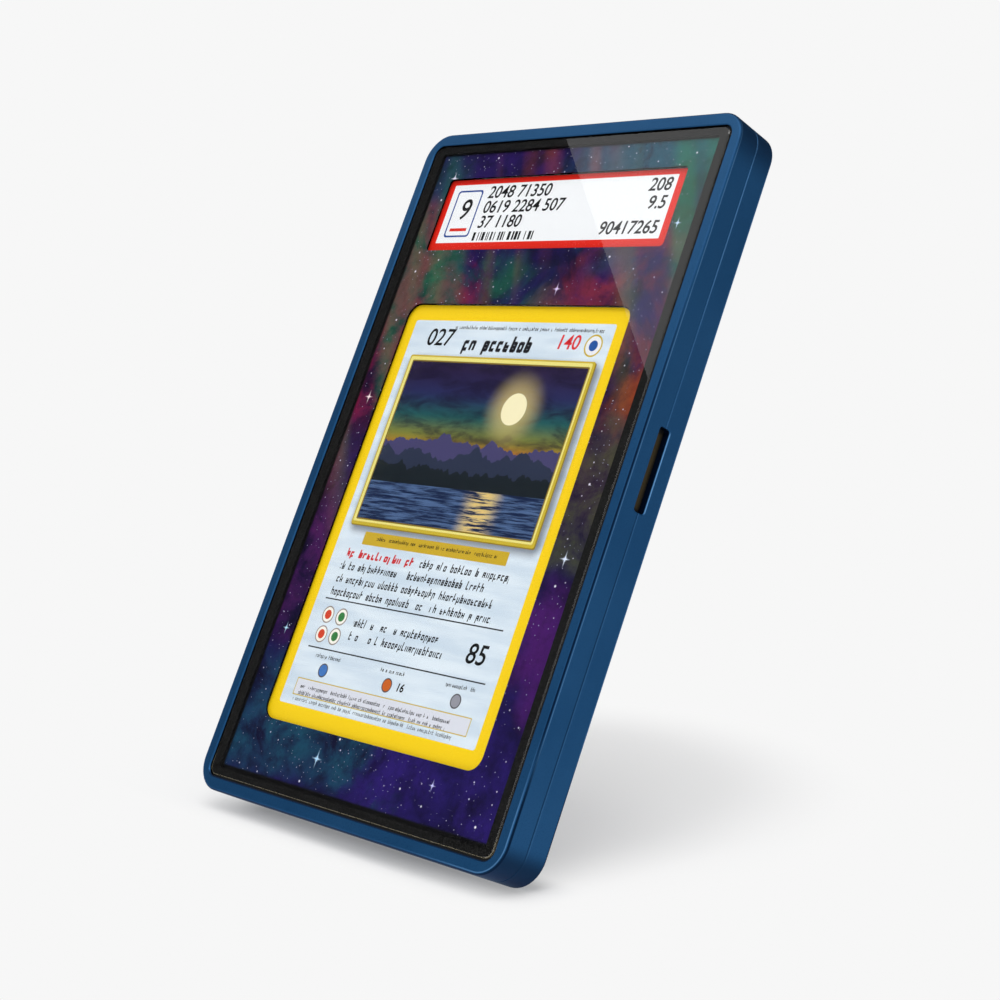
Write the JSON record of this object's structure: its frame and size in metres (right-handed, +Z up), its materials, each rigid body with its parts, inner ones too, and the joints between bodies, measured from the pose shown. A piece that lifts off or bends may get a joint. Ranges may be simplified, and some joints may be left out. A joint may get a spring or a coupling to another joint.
{
  "type": "trading card display case",
  "caption": "Slim magnetic two-half display case with glass on both faces, a pry slot and a sealed card holder inside.",
  "frame": {"origin": "middle of the case's lower end, where it stands; centre of the bounding box's bottom", "axes": "+Z up along the case's long side, front faces -Y, +Y through the case's thickness, +X to the right"},
  "size_m": [0.0892, 0.0102, 0.1446],
  "materials": {
    "rear_shell_anodised": "satin anodised",
    "front_shell_anodised": "satin anodised",
    "inner_frame_plastic": "matte",
    "glass_pane": "polished",
    "black_tape": "matte",
    "magnet_nickel": "nickel plated",
    "pin_steel": "ground",
    "cushion_foam": "soft foam",
    "printed_mat": "printed gloss",
    "clear_holder": "clear moulded",
    "card_stock": "coated card",
    "label_paper": "printed paper"
  },
  "bodies": {
    "rear_half": {"rear_shell": "rear_shell_anodised", "rear_inner_frame": "inner_frame_plastic", "rear_glass": "glass_pane", "rear_glass_tape": "black_tape", "rear_side_magnets": "magnet_nickel", "rear_end_magnets": "magnet_nickel", "locating_pins": "pin_steel", "rear_cushion": "cushion_foam"},
    "front_half": {"front_shell": "front_shell_anodised", "front_inner_frame": "inner_frame_plastic", "front_glass": "glass_pane", "front_glass_tape": "black_tape", "front_side_magnets": "magnet_nickel", "front_end_magnets": "magnet_nickel"},
    "front_insert": {"front_art_insert": "printed_mat"},
    "card_holder": {"slab_front_shell": "clear_holder", "slab_rear_shell": "clear_holder", "card_carrier": "clear_holder", "trading_card": "card_stock", "grade_label": "label_paper"},
    "rear_insert": {"rear_art_insert": "printed_mat"}
  },
  "joints": [
    {"name": "front_lift", "type": "slide", "parent": "rear_half", "child": "front_half", "axis": [0, -1, 0], "range_m": [0, 0.06]},
    {"name": "front_insert_lift", "type": "slide", "parent": "rear_half", "child": "front_insert", "axis": [0, -1, 0], "range_m": [0, 0.045]},
    {"name": "card_holder_lift", "type": "slide", "parent": "rear_half", "child": "card_holder", "axis": [0, -1, 0], "range_m": [0, 0.03]},
    {"name": "rear_insert_lift", "type": "slide", "parent": "rear_half", "child": "rear_insert", "axis": [0, -1, 0], "range_m": [0, 0.015]}
  ],
  "couplings": [
    {"joint": "front_insert_lift", "follows": "front_lift", "ratio": 0.75},
    {"joint": "card_holder_lift", "follows": "front_lift", "ratio": 0.5},
    {"joint": "rear_insert_lift", "follows": "front_lift", "ratio": 0.25}
  ]
}
